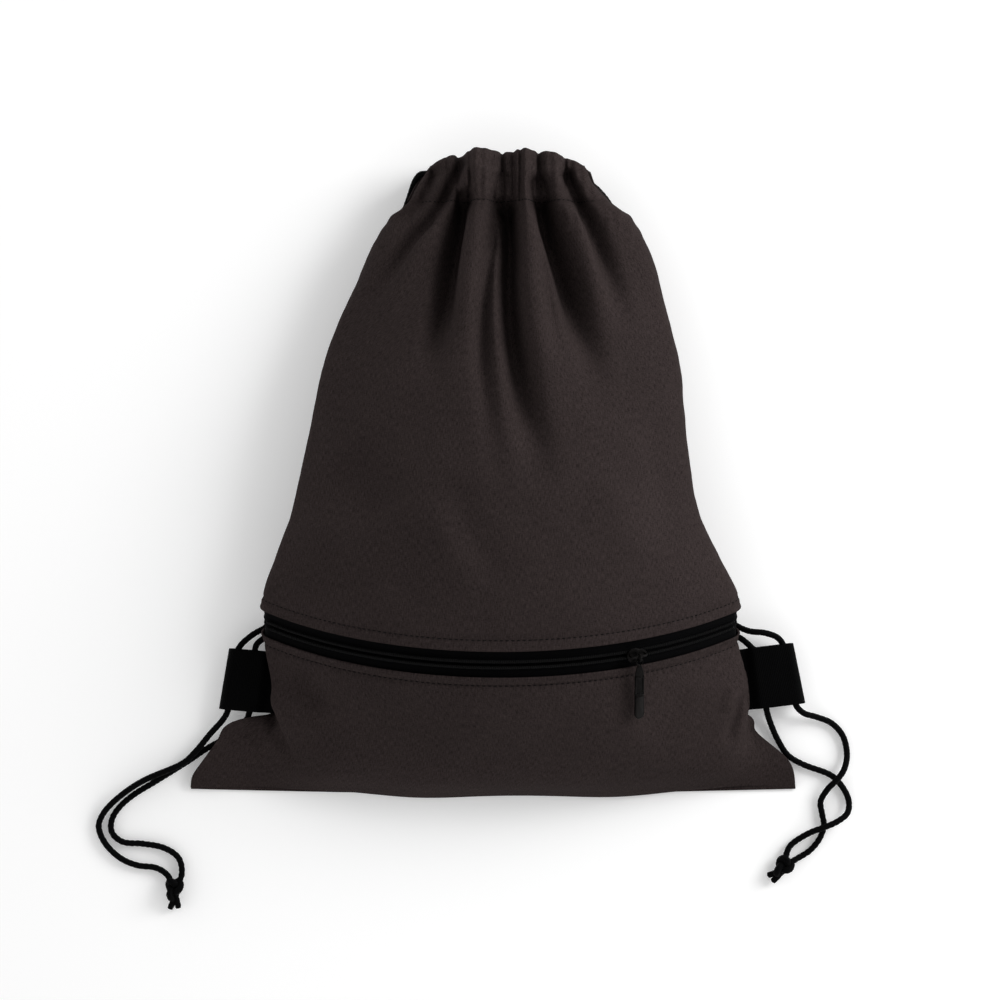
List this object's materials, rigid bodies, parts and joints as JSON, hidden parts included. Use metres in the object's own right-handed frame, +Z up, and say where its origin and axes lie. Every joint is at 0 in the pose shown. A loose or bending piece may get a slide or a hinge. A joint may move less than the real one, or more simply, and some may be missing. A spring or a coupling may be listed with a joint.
{
  "type": "drawstring backpack",
  "caption": "Cinch-top fabric backpack lying flat on its back: gathered mouth with cord casings, front zipped pocket, webbing loops and knotted cord shoulder straps.",
  "frame": {"origin": "centre of the bag's footprint, cords left out, on the ground it lies on", "axes": "+Y from the hem towards the gathered mouth, +Z up out of the front panel, +X to the right seen from the front"},
  "size_m": [0.4737, 0.4643, 0.0911],
  "materials": {
    "heather_canvas": "charcoal heathered woven canvas, matt",
    "lining_cloth": "thin plain lining cloth, matt",
    "zip_tape": "black woven zip tape, matt",
    "webbing": "black ribbed webbing, matt",
    "cord": "black braided cord, matt",
    "zip_coil": "black nylon coil, satin",
    "zip_metal": "dark gunmetal coating, satin"
  },
  "bodies": {
    "bag": {"front_panel_upper": "heather_canvas", "front_panel_lower": "heather_canvas", "back_panel": "heather_canvas", "front_casing": "heather_canvas", "back_casing": "heather_canvas", "pocket_lining": "lining_cloth", "zip_tape_upper": "zip_tape", "zip_tape_lower": "zip_tape", "zip_coil_upper": "zip_coil", "zip_coil_lower": "zip_coil", "left_tab": "webbing", "right_tab": "webbing", "left_cord_in_casing": "cord", "right_cord_in_casing": "cord", "left_cord_strand_a": "cord", "left_cord_strand_b": "cord", "right_cord_strand_a": "cord", "right_cord_strand_b": "cord", "left_knot": "cord", "right_knot": "cord"},
    "slider": {"zip_slider": "zip_metal", "slider_crown": "zip_metal"},
    "ring": {"pull_ring": "zip_metal"},
    "pull": {"pull_tab": "zip_metal"}
  },
  "joints": [
    {"name": "zip_slide", "type": "hinge", "parent": "bag", "child": "slider", "pos_m": [0.00432, -0.03259, -0.11875], "axis": [0, 0.9251, 0.3798], "range_deg": [-58, 5]},
    {"name": "pull_flip", "type": "hinge", "parent": "slider", "child": "ring", "pos_m": [0.08788, -0.10921, 0.06787], "axis": [-0.9239, -0.1454, 0.354], "range_deg": [0, 170]},
    {"name": "pull_swivel", "type": "hinge", "parent": "ring", "child": "pull", "pos_m": [0.08792, -0.1124, 0.06668], "axis": [0.3825, -0.3184, 0.8674], "range_deg": [-35, 35]}
  ]
}
